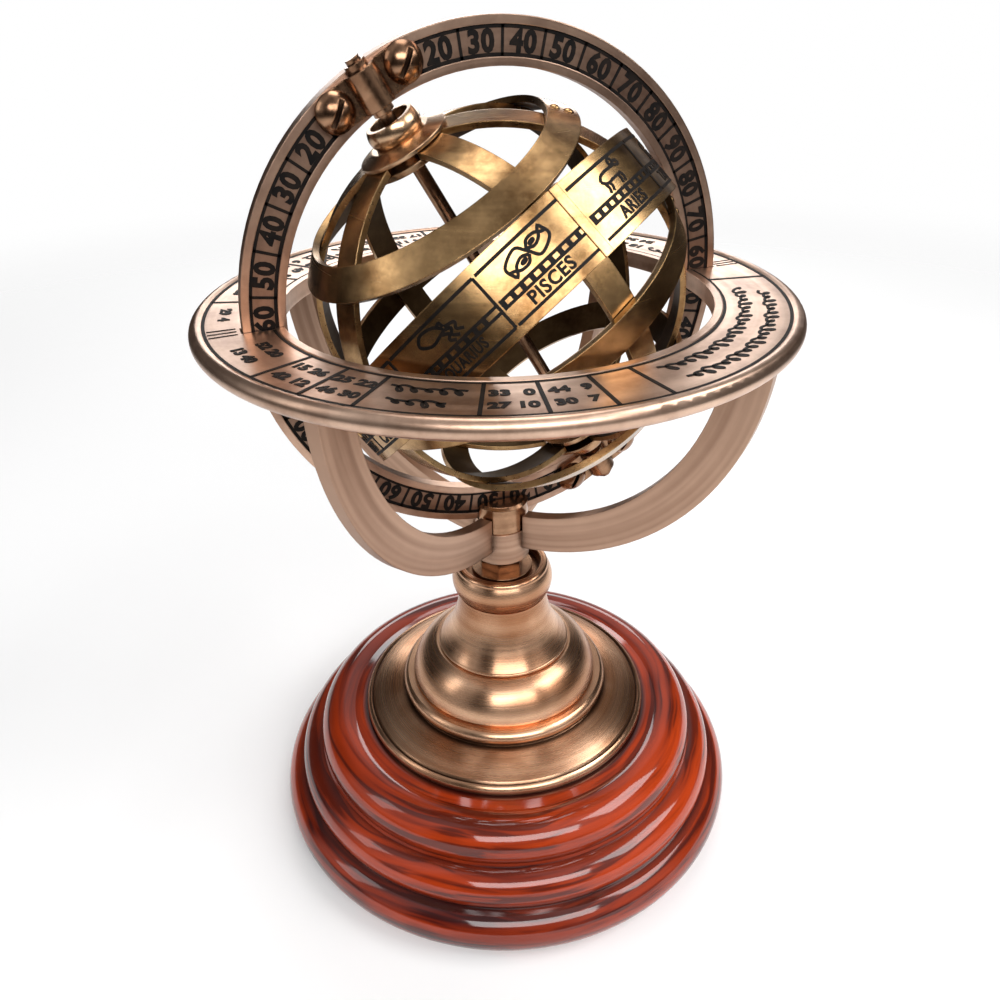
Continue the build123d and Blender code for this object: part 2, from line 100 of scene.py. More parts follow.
# %% Shader arithmetic
class Wire:
    """One socket in a material. Arithmetic on wires adds Math nodes to the same material."""

    # Places of a socket that a node shows more than once, by its order on the node.
    MIX_FACTOR, MIX_FIRST, MIX_SECOND, MIX_RESULT = 0, 6, 7, 2

    def __init__(self, tree, socket=None):
        self.tree, self.socket = tree, socket

    def node(self, kind, settings=None, values=None, out=0):
        """Adds a node: its type, its settings, then the numbers or wires of its sockets."""
        made = self.tree.nodes.new(kind)
        for name, value in (settings or {}).items():
            setattr(made, name, value)
        for name, value in (values or {}).items():
            if isinstance(value, Wire):
                self.tree.links.new(value.socket, made.inputs[name])
            else:
                made.inputs[name].default_value = value
        return Wire(self.tree, made.outputs[out])

    def sum(self, kind, *numbers):
        """A Math node of one kind on these numbers or wires."""
        return self.node("ShaderNodeMath", {"operation": kind}, dict(enumerate(numbers)))

    def __add__(self, other):
        return self.sum("ADD", self, other)

    def __sub__(self, other):
        return self.sum("SUBTRACT", self, other)

    def __rsub__(self, other):
        return self.sum("SUBTRACT", other, self)

    def __mul__(self, other):
        return self.sum("MULTIPLY", self, other)

    def __pow__(self, other):
        return self.sum("POWER", self, other)

    __radd__ = __add__
    __rmul__ = __mul__

    def between(self, low, high):
        """0 below low, 1 above high, and a smooth step from one to the other."""
        ends = {"From Min": low, "From Max": high, "Value": self}
        return self.node("ShaderNodeMapRange", {"interpolation_type": "SMOOTHSTEP"}, ends)

    def mix(self, low, high):
        """Goes from the first colour to the second as this wire goes from 0 to 1."""
        first, second = (end if isinstance(end, Wire) else (*end, 1) for end in (low, high))
        ends = {self.MIX_FACTOR: self, self.MIX_FIRST: first, self.MIX_SECOND: second}
        return self.node("ShaderNodeMix", {"data_type": "RGBA"}, ends, out=self.MIX_RESULT)

    def noise(self, where, scale, detail=3.0, roughness=0.55):
        """Cloudy noise from 0 to 1, at this many clouds a metre."""
        values = {"Vector": where, "Scale": scale, "Detail": detail, "Roughness": roughness}
        return self.node("ShaderNodeTexNoise", None, values)

    def into(self, shader, name):
        """Ends the sum in a named socket of a shader or another node."""
        self.tree.links.new(self.socket, shader.inputs[name])


def new_finish(name, **sockets):
    """A material, its main shader, and a wire to build on. What is the same all over the surface
    is set on the shader itself."""
    material = bpy.data.materials.new(name)
    material.use_nodes = True
    shader = material.node_tree.nodes["Principled BSDF"]
    for socket, value in sockets.items():
        shader.inputs[socket.replace("_", " ")].default_value = value
    return material, shader, Wire(material.node_tree)


print("shader arithmetic ready")

# %% [markdown]
# Antique brass is polished brass that was dipped in a brown patina and then rubbed. The rubbing
# takes the brown off the open faces and edges and leaves it in corners and in soft clouds. The
# faces on the inside of hoops get painted shade. So the colour here is three questions about
# each point: is it in a corner, does it face the inside, and where is it in the clouds? Fine
# scratches run along the rubbing.


# %% Antique brass
NORMAL_OUT, OBJECT_OUT = 1, 3


def object_place(start):
    """Where a point is on the object, in metres. The pattern turns with the part."""
    return start.node("ShaderNodeTexCoord", out=OBJECT_OUT)


def stretched(start, where, scale):
    """The same place, with each axis multiplied, so that noise on it becomes streaks."""
    return start.node("ShaderNodeMapping", None, {"Vector": where, "Scale": scale})


def axes(start, where):
    """The three numbers of a place."""
    return [start.node("ShaderNodeSeparateXYZ", None, {"Vector": where}, out=axis) for axis in range(3)]


def facing_out(start, where, middle):
    """1 on faces that look away from a point and 0 on faces that look towards it."""
    normal = start.node("ShaderNodeTexCoord", out=NORMAL_OUT)
    arm = start.node("ShaderNodeVectorMath", {"operation": "SUBTRACT"}, {0: where, 1: middle})
    arm = start.node("ShaderNodeVectorMath", {"operation": "NORMALIZE"}, {0: arm})
    dot = {"operation": "DOT_PRODUCT"}
    cosine = start.node("ShaderNodeVectorMath", dot, {0: arm, 1: normal}, out=1)
    return cosine.between(-0.5, 0.3)


def corners(start, reach):
    """1 in the open and near 0 in corners and grooves, within a reach in millimetres."""
    values = {"Distance": reach * MM}
    return start.node("ShaderNodeAmbientOcclusion", {"only_local": True, "samples": 6}, values, out=1)


def grain_bump(start, shader, height, strength, depth, under=None):
    """Raises and sinks the surface by a noise, a depth in millimetres at full strength."""
    values = {"Height": height, "Strength": strength, "Distance": depth * MM}
    if under is not None:
        values["Normal"] = under
    start.node("ShaderNodeBump", None, values).into(shader, "Normal")


def drawn_place(start, where, axle):
    """The two numbers that scratches follow: how far from the axle, and how far along it. With
    axle BALL they follow arms that bend round the middle itself."""
    x, y, z = axes(start, where)
    if axle == "BALL":
        distance, length = (x * x + y * y + z * z) ** 0.5, z * BREAK_UP
    else:
        other, length = (z, y) if axle == "Y" else (y, z)
        distance = (x * x + other * other) ** 0.5
    parts = {"X": distance, "Y": x * BREAK_UP, "Z": length}
    return distance, start.node("ShaderNodeCombineXYZ", None, parts)


def in_groove(distance, low, high):
    """1 between two distances in millimetres, with soft ends."""
    inner = distance.between(low * MM, (low + GROOVE_EDGE) * MM)
    return inner * (1 - distance.between((high - GROOVE_EDGE) * MM, high * MM))


BREAK_UP = 0.02          # how slowly a scratch changes along its own length
GROOVE_EDGE = 0.2        # millimetres
INSIDE_LEFT = 0.12       # share of the colour kept on the inner side of a hoop, under its painted shade
GROOVE_TAKEN = 0.45      # share of it that the patina takes in a sunk ring
WORN_EDGE = 0.22         # millimetres of rounding on every edge


def antique_brass(name, tones, roughness, axle="Z", middle=(0, 0, 0), drawn_share=0.3,
                  reach=2.5, dark_inside=False, groove=None):
    """Rubbed brass from three tones: rubbed, half rubbed, and the brown patina. drawn_share says
    how much of the pattern is scratches round the axle, dark_inside paints shade on the faces that
    look towards the middle, and groove=(low, high) darkens a sunk ring."""
    bright, mid, brown = tones
    material, shader, start = new_finish(name, Metallic=1.0, Roughness=roughness)
    place = object_place(start)
    where = start.node("ShaderNodeVectorMath", {"operation": "SUBTRACT"}, {0: place, 1: middle})
    distance, drawn = drawn_place(start, where, axle)
    scratches = start.noise(drawn, 1500.0, 2.0)
    bands = start.noise(drawn, 420.0, 2.0)
    clouds = start.noise(where, 60.0, 3.0)
    blotches = start.noise(where, 330.0, 4.0, 0.65)
    open_face = corners(start, reach).between(0.5, 0.97)
    # painted shade on the faces that look towards the middle of the sphere
    if dark_inside:
        open_face = open_face * (facing_out(start, place, middle) * (1 - INSIDE_LEFT) + INSIDE_LEFT)
    if groove:
        open_face = open_face * (1 - in_groove(distance, *groove) * GROOVE_TAKEN)
    cloudy = clouds.between(0.36, 0.64) * 0.6 + blotches.between(0.3, 0.7) * 0.4
    rubbed = cloudy * (1 - drawn_share) + bands.between(0.35, 0.65) * drawn_share
    open_face.mix(brown, rubbed.mix(mid, bright)).into(shader, "Base Color")
    matt = scratches * (0.1 + 0.2 * drawn_share) + (1 - open_face) * 0.2
    (matt + (roughness - 0.06)).into(shader, "Roughness")
    worn = start.node("ShaderNodeBevel", {"samples": 4}, {"Radius": WORN_EDGE * MM})
    grain_bump(start, shader, scratches, 0.04 + 0.15 * drawn_share, 0.1, worn)
    return material


MERIDIAN_WIDTH, MERIDIAN_RIM = 6.2, 1.15
scale_in = meridian_r - MERIDIAN_WIDTH + MERIDIAN_RIM
scale_out = meridian_r - MERIDIAN_RIM
ring_middle, sphere_middle = tuple(centre * MM), tuple(cage_centre * MM)
RING_PATINA = (0.03, 0.012, 0.007)
FITTING_PATINA = (0.008, 0.003, 0.002)
horizon_brass = antique_brass(
    "horizon_brass", ((0.74, 0.52, 0.39), (0.32, 0.19, 0.13), RING_PATINA), 0.32)
meridian_brass = antique_brass(
    "meridian_brass", ((0.60, 0.40, 0.29), (0.21, 0.12, 0.085), RING_PATINA), 0.32,
    "Y", ring_middle, groove=(scale_in, scale_out))
cradle_brass = antique_brass(
    "cradle_brass", ((0.50, 0.325, 0.23), (0.28, 0.165, 0.11), RING_PATINA), 0.31,
    "BALL", ring_middle, drawn_share=0.85)
hoop_brass = antique_brass(
    "hoop_brass", ((0.68, 0.43, 0.20), (0.13, 0.06, 0.02), (0.010, 0.004, 0.002)), 0.26,
    "Z", sphere_middle, drawn_share=0.05, reach=1.6, dark_inside=True)
fitting_brass = antique_brass(
    "fitting_brass", ((0.46, 0.27, 0.16), (0.12, 0.055, 0.03), FITTING_PATINA), 0.21, reach=1.8)
pole_brass = antique_brass(
    "pole_brass", ((0.66, 0.44, 0.27), (0.28, 0.15, 0.075), (0.015, 0.006, 0.003)), 0.22, reach=1.8)
print("six antique brasses")

# %% [markdown]
# The pedestal came off a lathe. Its last cut leaves rings too fine to count, which the eye sees
# as a satin that is drawn out round the axis. Noise that depends on radius and height, and
# hardly on the angle, gives those rings without drawing any of them. The rings also pull each
# highlight out across themselves, into the bright wedge that turned metal shows. The shader calls
# that anisotropy, and a quarter turn of it points the wedge away from the axis.


# %% Turned brass of the pedestal
def turned_brass(name, bright, mid, brown):
    """Brass with lathe rings: noise on (radius, height), and gloss stretched across the rings."""
    material, shader, start = new_finish(
        name, Metallic=1.0, Roughness=0.3, Anisotropic=0.65, Anisotropic_Rotation=0.25)
    where = object_place(start)
    x, y, height = axes(start, where)
    radius = (x * x + y * y) ** 0.5
    rings = start.node("ShaderNodeCombineXYZ", None, {"X": radius, "Y": x * 0.01, "Z": height})
    cut = start.noise(rings, 2600.0, 2.0, 0.6)
    tone = start.noise(rings, 300.0, 2.0)
    clouds = start.noise(where, 60.0, 3.0)
    open_face = corners(start, 1.6).between(0.6, 0.97)
    rubbed = tone.between(0.3, 0.7) * 0.5 + clouds.between(0.35, 0.65) * 0.5
    open_face.mix(brown, rubbed.mix(mid, bright)).into(shader, "Base Color")
    (cut * 0.14 + (1 - open_face) * 0.25 + 0.2).into(shader, "Roughness")
    grain_bump(start, shader, cut, 0.08, 0.1)
    return material


pedestal_brass = turned_brass(
    "turned_brass", (0.80, 0.50, 0.32), (0.33, 0.145, 0.068), (0.03, 0.011, 0.005))
print("turned brass")

# %% [markdown]
# The base is a rosewood-coloured hardwood under thick clear lacquer. Its grain shows as long lines
# that follow the rim, so the noise changes fast with radius and height and slowly along the
# plank, with a little warp. Shade is painted into the grooves, and a painted shadow lies round
# the brass foot. The lacquer is a second, glossy layer: that is what a coat on the shader is for.


# %% Lacquered wood
flange_r = half_span("foot_flange", 0)
FLANGE_SHADE = 1.5       # millimetres of painted shadow round the brass foot


def lacquered_wood(name):
    """Long grain lines: noise that changes fast with radius and height, and slowly along the
    plank. The grooves get painted shade, and a ring round the brass foot a painted shadow."""
    material, shader, start = new_finish(
        name, Roughness=0.5, Specular_IOR_Level=0.1,
        Coat_Weight=1.0, Coat_Roughness=0.08, Coat_IOR=1.5)
    where = object_place(start)
    warp = start.noise(where, 30.0, 2.0) * 0.006
    x, y, z = axes(start, where)
    radius = (x * x + y * y) ** 0.5
    parts = {"X": radius * 0.8 + warp, "Y": x * 0.05, "Z": z + y * 0.03}
    sheets = start.node("ShaderNodeCombineXYZ", None, parts)
    growth = start.noise(sheets, 700.0, 2.0, 0.6)
    broad = start.noise(sheets, 200.0, 2.0)
    patches = start.noise(stretched(start, where, (0.4, 1, 1)), 45.0, 2.0)
    # painted shade: the grooves darken with how hidden they are, within 6 mm
    open_face = corners(start, 6.0).between(0.45, 0.98)
    grain = growth.between(0.40, 0.60) * 0.3 + broad.between(0.42, 0.58) * 0.4
    grain = grain + patches.between(0.35, 0.65) * 0.3
    wood = grain.mix((0.038, 0.0005, 0.0003), (0.44, 0.040, 0.002))
    lines = growth.between(0.38, 0.46)
    # painted shadow: a dark ring just outside the brass foot
    flange_shadow = radius.between(flange_r * MM, (flange_r + FLANGE_SHADE) * MM)
    # one dark tone for the grain lines, the painted shade and the painted shadow
    (open_face * flange_shadow * (lines * 0.6 + 0.4)).mix((0.02, 0.001, 0.0005), wood).into(shader, "Base Color")
    grain_bump(start, shader, growth, 0.03, 0.3)
    return material


rosewood = lacquered_wood("rosewood")
print("lacquered wood")

# %% [markdown]
# Three small finishes are left. The engraving is filled with black enamel, which is never quite
# even. The pad under the base is felt. The bolt and its washer, out of sight, are zinced steel.


# %% Enamel, felt and steel
def plain_finish(name, dark, light, scale, roughness, bump, **sockets):
    """Two close tones in noise, with the roughness from low to high and a fine bump from it too."""
    material, shader, start = new_finish(name, **sockets)
    where = object_place(start)
    cloud = start.noise(where, scale, 4.0, 0.6)
    cloud.between(0.3, 0.7).mix(dark, light).into(shader, "Base Color")
    low, high = roughness
    (cloud * (high - low) + low).into(shader, "Roughness")
    grain_bump(start, shader, cloud, bump, 0.2)
    return material


enamel = plain_finish(
    "black_enamel", (0.002, 0.0015, 0.0015), (0.010, 0.006, 0.004), 700.0, (0.45, 0.7), 0.1,
    Specular_IOR_Level=0.15)
felt = plain_finish(
    "felt", (0.012, 0.03, 0.018), (0.03, 0.06, 0.035), 2600.0, (0.9, 1.0), 0.8, Sheen_Weight=0.4)
steel = plain_finish(
    "steel", (0.42, 0.43, 0.44), (0.6, 0.61, 0.62), 500.0, (0.25, 0.45), 0.1, Metallic=1.0)
print("enamel, felt and steel")


# %% [markdown]
# Every part of the frame now gets its finish by name. Parts of one kind share one material, and a
# part that was forgotten shows up in the printed list.

# %% Finishes for the parts of the frame
ribs = ["rib_" + str(number) for number in range(1, 7)]
FINISHES = (
    (horizon_brass, ("horizon_ring",)),
    (meridian_brass, ("meridian_ring",)),
    (cradle_brass, ("cradle",)),
    (hoop_brass, ("equator_ring", "north_band", "south_band", "zodiac_band")),
    (hoop_brass, ("band_rivets", "zodiac_rivets", *ribs)),
    (fitting_brass, ("fork_stud", "lock_nut", "spacer_washer", "strap_screws")),
    (fitting_brass, ("north_strap", "south_strap", "north_sleeve", "south_sleeve", "axis_rod")),
    (pole_brass, ("north_boss", "south_boss", "north_cap", "south_cap")),
    (pole_brass, ("north_pole_washer", "south_pole_washer")),
    (pedestal_brass, ("foot_flange", "foot_dome", "neck", "collar")),
    (rosewood, ("wood_base",)),
    (felt, ("felt_pad",)),
    (steel, ("tie_bolt", "tie_washer")),
)
for material, names in FINISHES:
    for name in names:
        slots = nodes[name].data.materials
        slots.clear()
        slots.append(material)
bare = [name for name in nodes if not nodes[name].data.materials]
print("parts without a finish:", bare)

# %% [markdown]
# Engraving filled with enamel stands a hair proud once it is fired, so each line, tick, number
# and picture here is a very thin closed plate, laid on its ring. All of it is drawn flat first,
# on a chart in millimetres: along, across, and height off the metal. A line is a ribbon: a
# small rectangle carried along a path. Text is Blender's own, made into a mesh.


# %% Drawing flat: ribbons and letters
PLATE_LOW, PLATE_HIGH = -0.03, 0.06


def ribbon(path, width, low=PLATE_LOW, high=PLATE_HIGH):
    """A rectangle carried along a flat path: each point of the path moved half a width to the
    left and to the right of it, at two heights. A path that ends where it starts is a loop."""
    path = np.asarray(path, float)
    looped = np.allclose(path[0], path[-1])
    if looped:
        path = path[:-1]
        along = np.roll(path, -1, 0) - np.roll(path, 1, 0)
    else:
        along = np.gradient(path, axis=0)
    along /= np.linalg.norm(along, axis=1)[:, None]
    side = np.stack([-along[:, 1], along[:, 0]], 1) * width / 2
    section = ((1, high), (1, low), (-1, low), (-1, high))
    rails = [np.column_stack([path + way * side, np.full(len(path), level)]) for way, level in section]
    points = np.stack(rails, 1).reshape(-1, 3)
    steps = len(path) if looped else len(path) - 1
    first = np.repeat(np.arange(steps), 4) * 4
    edge = np.tile(np.arange(4), steps)
    ahead = (first + 4) % len(points)
    after = (edge + 1) % 4
    faces = np.stack([first + edge, first + after, ahead + after, ahead + edge], 1).tolist()
    if not looped:
        last = len(points) - 4
        faces += [[3, 2, 1, 0], [last, last + 1, last + 2, last + 3]]
    return points, faces


def letters(words, tall, weight, wide=1.0, gap=1.0, low=PLATE_LOW, high=PLATE_HIGH):
    """A word as a thin closed plate, as tall as asked, with its middle at the chart's origin.
    weight thickens the strokes, wide stretches the word and gap moves its letters apart."""
    curve = bpy.data.curves.new("word", "FONT")
    curve.body = words
    curve.offset = weight
    curve.extrude = 0.5
    curve.resolution_u = 3
    curve.space_character = gap
    writer = bpy.data.objects.new("word", curve)
    mesh = bpy.data.meshes.new_from_object(writer)
    points = np.empty(len(mesh.vertices) * 3)
    mesh.vertices.foreach_get("co", points)
    points = points.reshape(-1, 3)
    faces = [list(face.vertices) for face in mesh.polygons]
    bpy.data.objects.remove(writer)
    bpy.data.meshes.remove(mesh)
    middle = (points.min(0) + points.max(0)) / 2
    scale = tall / np.ptp(points[:, 1])
    flat = (points[:, :2] - middle[:2]) * scale * (wide, 1)
    return np.column_stack([flat, np.where(points[:, 2] > 0, high, low)]), faces


def moved(drawing, along=0.0, across=0.0, turn=0.0):
    """A drawing turned by an angle in degrees and then moved on the chart."""
    points, faces = drawing
    cosine, sine = math.cos(math.radians(turn)), math.sin(math.radians(turn))
    x = points[:, 0] * cosine - points[:, 1] * sine + along
    y = points[:, 0] * sine + points[:, 1] * cosine + across
    return np.column_stack([x, y, points[:, 2]]), faces


def arc(radius, start=0.0, end=360.0, fine=3.0):
    """Points on a circle about the chart's origin, from one angle to another."""
    angle = np.radians(np.linspace(start, end, max(3, int(abs(end - start) / fine) + 1)))
    return np.stack([radius * np.cos(angle), radius * np.sin(angle)], 1)


def spoke(angle, inner, outer, width):
    """A straight line that points at the middle of a ring."""
    way = np.array([math.cos(math.radians(angle)), math.sin(math.radians(angle))])
    return ribbon(np.stack([way * inner, way * (inner + outer) / 2, way * outer]), width)


print("a square millimetre of line has", len(spoke(0, 0, 1, 1)[0]), "points")

# %% [markdown]
# A piece is many drawings joined. Each drawing is bent from its flat chart onto the ring it
# belongs to, and only then do they become one mesh, with every face turned outwards. The mesh
# keeps its place in its own points, so that the object itself stays at the origin.

# %% Joining drawings into a piece
SAME_POINT = 1e-7


def piece(name, drawings, onto, material, body):
    """Bends every drawing onto its ring, joins them, and turns all the faces outwards."""
    points, faces, count = [], [], 0
    for flat, polygons in drawings:
        points.append(onto(flat))
        faces += [[corner + count for corner in polygon] for polygon in polygons]
        count += len(flat)
    mesh = bpy.data.meshes.new(name)
    mesh.from_pydata((np.concatenate(points) * MM).tolist(), [], faces)
    work = bmesh.new()
    work.from_mesh(mesh)
    bmesh.ops.remove_doubles(work, verts=work.verts, dist=SAME_POINT)
    bmesh.ops.recalc_face_normals(work, faces=work.faces)
    work.to_mesh(mesh)
    work.free()
    mesh.materials.append(material)
    obj = bpy.data.objects.new(name, mesh)
    scene.collection.objects.link(obj)
    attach(obj, body)
    print(name, len(mesh.polygons), "faces")
    return obj


# %% [markdown]
# The meridian ring is numbered on both faces and down both sides, from the pole to the equator
# and on to the other pole: 10, 20, 30 to 90, then 80 down to 10. Each number has a cell, closed by
# a line on each side. A small gap at the pole comes first, so the eighteen cells of a half are a
# little under ten degrees each. Two circles run along the raised rims, and the digits have their
# heads outwards. The faces lie in a shallow turned recess, which SUNK accounts for.

# %% Numbers of the meridian ring
TILT = math.degrees(math.asin(-joints["sphere_spin"]["axis"][0]))
SUNK = 0.25              # depth of the recess in each face
cell_middle = (scale_in + scale_out) / 2


def tilted(points):
    """Leans the polar frame over by the pole's tilt and carries it to the middle of the rings."""
    cosine, sine = math.cos(math.radians(TILT)), math.sin(math.radians(TILT))
    x, y, z = points.T
    return np.stack([x * cosine - z * sine, y, x * sine + z * cosine], 1)


def meridian_face(side):
    """Chart to ring: along and across lie in the ring's plane, height points off the face."""
    def bend(flat):
        away = meridian_t / 2 - SUNK + flat[:, 2]
        return tilted(np.stack([flat[:, 0] * side, -away * side, flat[:, 1]], 1)) + centre
    return bend


POLE_GAP = 2.3           # degrees left free at the pole, under the strap
CELLS = 18               # in each half of the ring
PITCH = (180 - POLE_GAP) / CELLS
CIRCLE, DIVIDER = 0.48, 0.42
NUMBER_TALL, NUMBER_WEIGHT, NUMBER_WIDE, NUMBER_GAP = 3.05, 0.048, 0.95, 1.1
numbers = {
    value: letters(str(value), NUMBER_TALL, NUMBER_WEIGHT, NUMBER_WIDE, NUMBER_GAP)
    for value in range(10, 100, 10)
}
scale = [ribbon(arc(radius, fine=2), CIRCLE) for radius in (scale_in + CIRCLE / 2, scale_out - CIRCLE / 2)]
for side in (1, -1):
    for cell in range(CELLS):
        value = 10 + 10 * min(cell, 16 - cell)
        edge = POLE_GAP + PITCH * cell
        scale.append(spoke(90 - side * edge, scale_in, scale_out, DIVIDER))
        if value:
            clockwise = side * (edge + PITCH / 2)
            across, up = math.sin(math.radians(clockwise)), math.cos(math.radians(clockwise))
            scale.append(moved(numbers[value], cell_middle * across, cell_middle * up, -clockwise))
piece("meridian_numbers_front", scale, meridian_face(1), enamel, "meridian")
piece("meridian_numbers_back", scale, meridian_face(-1), enamel, "meridian")

# %% [markdown]
# The horizon ring has broad cells between two black circles. The cells hold pairs of numbers in two
# rows, and where the maker of such an instrument writes names, an invented running scroll stands in
# their place. The numbers have their heads towards the middle of the ring.

# %% Engraving of the horizon ring
FACE_RISE = 0.6          # the engraved face above the middle of the rings
INNER_CIRCLE, OUTER_CIRCLE = 11.6, 2.2      # how far each circle stands in from the outer edge
face_height = float(centre[2]) + FACE_RISE
field_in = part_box("horizon_ring")[1][0] / MM - INNER_CIRCLE
field_out = horizon_r - OUTER_CIRCLE


def horizon_face(flat):
    """Chart to ring: the ring lies flat, so only the height changes."""
    return np.column_stack([flat[:, :2], face_height + flat[:, 2]])


def on_horizon(drawing, radius, angle):
    """Puts a drawing on the ring at an angle, with its head towards the middle."""
    place = (radius * math.cos(math.radians(angle)), radius * math.sin(math.radians(angle)))
    return moved(drawing, *place, angle + 90)


LOOP_PITCH = math.radians(105)      # 1.83 mm of ring from one loop to the next
LOOP_LINE = 0.46


def scroll(radius, start, end, tall, seed):
    """Running scroll: a row of leaning loops, a circle that rolls round the ring while its size
    swells and shrinks slowly."""
    angle = np.linspace(start, end, int((end - start) * 10))
    beat = 2 * math.pi * np.radians(angle - start) * radius / LOOP_PITCH
    swing = 0.68 + 0.32 * np.sin(beat * 0.31 + seed)
    reach = radius - tall / 2 * swing * np.cos(beat)
    turn = np.radians(angle) + 0.7 / radius * (np.sin(beat) - 0.6 * np.cos(beat))
    return ribbon(np.stack([reach * np.cos(turn), reach * np.sin(turn)], 1), LOOP_LINE)


SLIDE_GAP, SLOT_SPARE = 0.15, 0.4
slot_half = meridian_t / 2 + SLIDE_GAP + SLOT_SPARE
slot_end = meridian_r + 2 * SLOT_SPARE
slot_angle = math.degrees(math.asin(slot_half / field_in))
field = [ribbon(arc(field_in, slot_angle + way, 180 - slot_angle + way, 2), 0.42) for way in (0, 180)]
field.append(ribbon(arc(field_out, fine=2), 0.5))
field_middle = (field_in + field_out) / 2

DIVIDERS = (-156.2, -144.6, -134.3, -114.4, -103.8, -93.0, -83.3, -12.0, 12.0, 36.0,
            46.5, 57.0, 78.0, 88.0, 98.5, 119.0, 130.0, 141.0, 160.0)
FINE_LINES = (-1.5, 0.0, 1.5, 178.2, 180.0, -178.2, 66.0, 67.5, 69.0)
LINE_END = 0.4
for angle in DIVIDERS:
    field.append(spoke(angle, field_in, field_out, 0.55))
for angle in FINE_LINES:
    at_slot = abs(math.sin(math.radians(angle))) * field_in < slot_half
    inner = slot_end if at_slot else field_in + LINE_END
    field.append(spoke(angle, inner, field_out - LINE_END, 0.22))

PAIRS = (
    (-150.4, "15 26", "42 12"), (-139.4, "25 22", "46 30"), (-109.1, "33  0", "27 10"),
    (-98.4, "44  9", "30  7"), (-166.0, "52 20", "13 40"), (28.0, "18 51", "24 36"),
    (41.2, "36  5", "12 48"), (51.8, "21 14", "50  3"), (83.0, "40 16", "28  9"),
    (93.2, "54 11", "17 33"), (124.5, "31 45", "22  6"), (135.5, "49  8", "14 27"),
    (150.5, "10 38", "35 20"), (168.5, "47 12", "29  4"),
)
ROW, PAIR_TALL, PAIR_WEIGHT, PAIR_WIDE = 1.75, 1.85, 0.055, 1.2
for angle, *rows in PAIRS:
    for side, row in zip((-1, 1), rows):
        pair = letters(row, PAIR_TALL, PAIR_WEIGHT, PAIR_WIDE)
        field.append(on_horizon(pair, field_middle + side * ROW, angle))

SCROLLS = ((-131.5, -117.2), (-78.0, -20.0), (13.5, 21.0), (59.0, 64.0), (101.0, 117.0))
for number, (start, end) in enumerate(SCROLLS):
    field.append(scroll(field_middle - 1.8, start, end, 1.9, number))
    field.append(scroll(field_middle + 1.9, start + 1.5, end - 2.5, 1.9, number + 3))
piece("horizon_engraving", field, horizon_face, enamel, "stand")

# %% [markdown]
# The broad band is the zodiac: twelve cells of thirty degrees, each with a picture, a ladder of
# three-degree steps and a name. The pictures are short strokes drawn here from ovals and smooth
# bends, in millimetres about the middle of each picture. The band is a strip whose ends
# overlap, so one end shows as a plain bright lap plate.

# %% Strokes for the zodiac pictures
def bend(*points, closed=False):
    """A smooth path through points: between two of them it is a cubic, and its slope at each
    point is half the way from the point before to the point after."""
    p = np.array(points, float)
    if closed:
        before, after = p[-1:], p[:2]
    else:
        before, after = 2 * p[:1] - p[1:2], 2 * p[-1:] - p[-2:-1]
    p = np.concatenate([before, p, after])
    t = np.linspace(0, 1, 7)[:-1][None, :, None]
    a, b, c, d = (p[k:len(p) - 3 + k][:, None] for k in range(4))
    path = b + t * (c - a) / 2 + t ** 2 * (a - 2.5 * b + 2 * c - d / 2)
    path = path + t ** 3 * (1.5 * (b - c) + (d - a) / 2)
    return np.concatenate([path.reshape(-1, 2), p[1:2] if closed else p[-2:-1]])


def oval(x, y, wide, tall, lean=0.0):
    """A closed oval about a point, leaning by an angle in degrees."""
    circle = arc(1.0, 0, 360, 24) * (wide / 2, tall / 2)
    cosine, sine = math.cos(math.radians(lean)), math.sin(math.radians(lean))
    return circle @ np.array([[cosine, sine], [-sine, cosine]]) + (x, y)


def both_sides(paths):
    """Strokes and their mirror images, left for right."""
    return paths + [path * (-1, 1) for path in paths]


def beast(back, belly):
    """Four legs, a back and a belly: the body that the ram, bull, lion and goat share."""
    legs = [bend((x, -0.5), (x + 0.15, -1.2), (x - 0.1, -1.85)) for x in (-1.7, -1.05, 1.0, 1.65)]
    upper = bend((-2.1, 0.1), (-1.4, 0.75), (0, back), (1.5, 0.8))
    lower = bend((-2.1, 0.1), (-1.3, -0.6), (0, belly), (1.7, -0.5))
    return [upper, lower, *legs]


def fish(x, y, lean):
    """Two bends that cross behind the body make the tail."""
    turn = np.array([[math.cos(lean), math.sin(lean)], [-math.sin(lean), math.cos(lean)]])
    upper = bend((1.5, 0), (0.6, 0.75), (-0.6, 0.5), (-1.3, -0.3), (-1.9, -0.7))
    lower = upper * (1, -1)
    return [path * 0.85 @ turn + (x, y) for path in (upper, lower, oval(0.4, 0, 0.8, 0.35))]


claw = [bend((0.8, 0.5), (1.9, 1.1), (1.6, 1.9), (2.3, 1.5), (2.7, 1.0), (1.9, 1.1))]
crab_legs = [bend((1.0, y), (1.9, y + 0.1), (2.5, y - 0.5)) for y in (0.1, -0.4, -0.8)]
scale_pan = [
    bend((1.9, 1.2), (1.2, -0.6)),
    bend((1.9, 1.2), (2.6, -0.6)),
    bend((1.0, -0.6), (1.9, -1.4), (2.8, -0.6), (1.0, -0.6)),
]
twin = [
    oval(1.1, 1.35, 0.8, 0.8),
    bend((1.1, 0.9), (1.1, -0.4)),
    bend((0.5, -1.9), (1.1, -0.4), (1.7, -1.9)),
    bend((0.0, 0.5), (1.1, 0.6), (2.1, -0.1)),
]
ear_of_wheat = [bend((-2.6, -1.8), (-0.5, -0.3), (2.0, 1.3))]
ear_of_wheat += [oval(-0.5 + 0.8 * k, 0.3 + 0.55 * k, 0.9, 0.42, 75) for k in range(4)]
ear_of_wheat += [oval(0.1 + 0.8 * k, -0.45 + 0.55 * k, 0.9, 0.42, -5) for k in range(4)]
print(len(beast(0.9, -0.55)), "strokes in a beast,", len(ear_of_wheat), "in an ear of wheat")

# %% [markdown]
# The twelve pictures are a ram, a bull, twins, a crab, a lion, an ear of wheat, a pair of scales,
# a scorpion, a bow with its arrow, a goat with a curled tail, a water jar and two fish.

